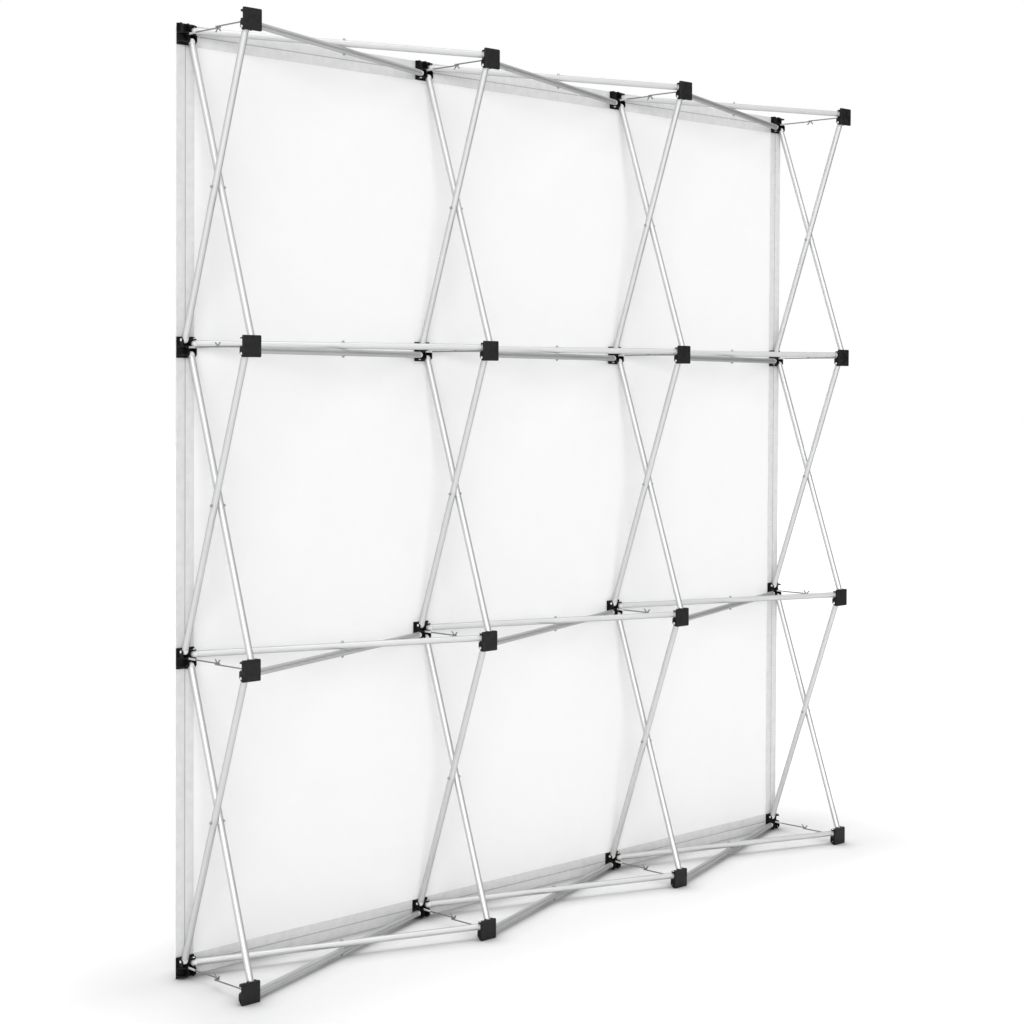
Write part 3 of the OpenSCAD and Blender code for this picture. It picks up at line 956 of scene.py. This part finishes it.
class WALL_OT_stage(Operator):
    """Sets up the pale floor, the soft light and the camera."""
    bl_idname = "wall.stage"
    bl_label = "Stage"

    def seen_directly(self, tree):
        """1 for what the camera, a reflection or clear material sees."""
        path = tree.nodes.new("ShaderNodeLightPath").outputs
        seen = path["Is Camera Ray"]
        for other in ("Is Glossy Ray", "Is Transmission Ray"):
            seen = math_of(tree, "MAXIMUM", seen, path[other])
        return seen

    def card(self, name, points, material):
        """A flat piece of the stage with four corners."""
        mesh = bpy.data.meshes.new(name)
        mesh.from_pydata(points, [], [(0, 1, 2, 3)])
        mesh.materials.append(material)
        return new_object(name, mesh)

    def floor(self, sizes):
        """A pale floor with painted shadow, dark where the wall nearly touches it, and white away
        from the wall, where its glow is strongest.
        """
        material, tree, shader, coords = new_finish("floor_white")
        touch, darkest = 0.07, 0.4
        glow_near, glow_far, glow_reach = 0.03, 0.30, 0.6
        # Ambient occlusion darkens the floor's colour and its glow where the wall nearly touches
        # it: a painted shadow.
        near = output_of(tree, "ShaderNodeAmbientOcclusion", {"Distance": touch}, "AO",
                         samples=8)
        under = spread(tree, near, darkest, 1.0, start=0.45, end=0.95)
        white, darker = (0.92, 0.92, 0.92), 0.90 / 0.92
        pale = mottled(tree, noise(tree, coords, scale=0.8), white, darker, 1.0)
        away = vector_of(tree, "ABSOLUTE", coords)
        away = vector_of(tree, "SUBTRACT", away, (PANEL_HIGH.x, CAP_HIGH.y, 0))
        away = vector_of(tree, "MAXIMUM", away, (0, 0, 0))
        away = vector_of(tree, "LENGTH", away, output="Value")
        # A glow seen only directly, weaker near the wall than away from it: painted shade near the
        # wall.
        glow = spread(tree, away, glow_near, glow_far, start=0.0, end=glow_reach,
                      interpolation_type="SMOOTHSTEP")
        glow = math_of(tree, "MULTIPLY", glow, under)
        feed(tree, shader, {
            "Base Color": vector_of(tree, "MULTIPLY", pale, under),
            "Roughness": 0.9,
            "Emission Strength": math_of(tree, "MULTIPLY", self.seen_directly(tree), glow),
            "Emission Color": (1, 1, 1, 1)})
        half = sizes.floor / 2
        square = [(sx * half, sy * half, 0) for sx, sy in SQUARE_CORNERS]
        self.card("floor", square, material)

    def world(self, sizes):
        world = bpy.data.worlds.new("studio")
        bpy.context.scene.world = world
        world.use_nodes = True
        tree = world.node_tree
        level = spread(tree, self.seen_directly(tree), sizes.ambient, 1.0, start=0.0, end=1.0)
        feed(tree, tree.nodes["Background"], {"Color": (1, 1, 1, 1), "Strength": level})

    def flag(self):
        """A dark card to the wall's right, which the metal mirrors but the camera doesn't see."""
        material, tree, shader, _ = new_finish("flag_black")
        feed(tree, shader, {"Base Color": (0.02, 0.02, 0.02, 1), "Roughness": 0.9})
        x, front, back, top = -3.4, -0.1, 3.4, 4.0
        card = self.card("flag", [(x, front, 0), (x, back, 0), (x, back, top), (x, front, top)],
                         material)
        for sight in ("camera", "diffuse", "shadow", "transmission"):
            setattr(card, "visible_" + sight, False)

    def lamp(self, name, amount, comes_from, softness):
        """A soft distant lamp that gives its share of the light on a surface that faces it."""
        light = bpy.data.lights.new(name, "SUN")
        light.energy, light.angle = amount * math.pi, softness
        lamp = new_object(name, light)
        lamp.rotation_euler = Vector(comes_from).to_track_quat("Z", "Y").to_euler()

    def camera(self, sizes):
        camera = new_object("camera", bpy.data.cameras.new("camera"))
        camera.data.lens, camera.data.sensor_width = sizes.lens, 36.0
        camera.data.shift_y = sizes.rise
        camera.matrix_world = (Matrix.Translation(sizes.camera_at)
                               @ Matrix.Rotation(math.pi + sizes.yaw, 4, "Z")
                               @ Matrix.Rotation(math.pi / 2 + sizes.pitch, 4, "X")
                               @ Matrix.Rotation(sizes.roll, 4, "Z"))
        bpy.context.scene.camera = camera

    def execute(self, context):
        sizes = context.scene.wall_stage
        context.scene.view_settings.view_transform = "Standard"
        self.floor(sizes)
        self.world(sizes)
        self.flag()
        self.lamp("key_lamp", sizes.key, sizes.key_from, sizes.key_soft)
        self.lamp("fill_lamp", sizes.fill, sizes.fill_from, sizes.fill_soft)
        self.lamp("top_lamp", sizes.top, sizes.top_from, sizes.top_soft)
        self.camera(sizes)
        return {"FINISHED"}


class WALL_PT_panel(Panel):
    """Lists the wall's pieces."""
    bl_idname = "WALL_PT_panel"
    bl_label = "Display Wall"
    bl_space_type = "VIEW_3D"
    bl_region_type = "UI"
    bl_category = "Display Wall"

    def draw(self, context):
        for settings, _, operators in GROUPS:
            column = self.layout.column(align=True)
            group = getattr(context.scene, settings)
            for name in group.bl_rna.properties.keys():
                if name not in ("rna_type", "name"):
                    column.prop(group, name)
            for operator in operators:
                column.operator(operator.bl_idname)


GROUPS = (
    ("wall_hubs", WallHubSettings, (WALL_OT_hubs, WALL_OT_caps)),
    ("wall_braces", WallBraceSettings, (WALL_OT_braces, WALL_OT_fasteners)),
    ("wall_rods", WallRodSettings, (WALL_OT_lock_rods,)),
    ("wall_panel", WallPanelSettings, (WALL_OT_panel, WALL_OT_tape)),
    ("wall_stage", WallStageSettings, (WALL_OT_stage,)),
)
CLASSES = (*(settings for _, settings, _ in GROUPS),
           *(operator for _, _, operators in GROUPS for operator in operators), WALL_PT_panel)


def register():
    for made in CLASSES:
        bpy.utils.register_class(made)
    for name, settings, _ in GROUPS:
        setattr(bpy.types.Scene, name, PointerProperty(type=settings))


def unregister():
    for name, _, _ in GROUPS:
        delattr(bpy.types.Scene, name)
    for made in reversed(CLASSES):
        bpy.utils.unregister_class(made)


def main():
    register()
    copies_tree()
    wire_tree()
    stitch_tree()
    bpy.ops.wall.hubs()
    bpy.ops.wall.caps()
    bpy.ops.wall.braces()
    bpy.ops.wall.fasteners()
    bpy.ops.wall.lock_rods()
    bpy.ops.wall.panel()
    bpy.ops.wall.tape()
    bpy.ops.wall.stage()


if __name__ == "__main__":
    main()
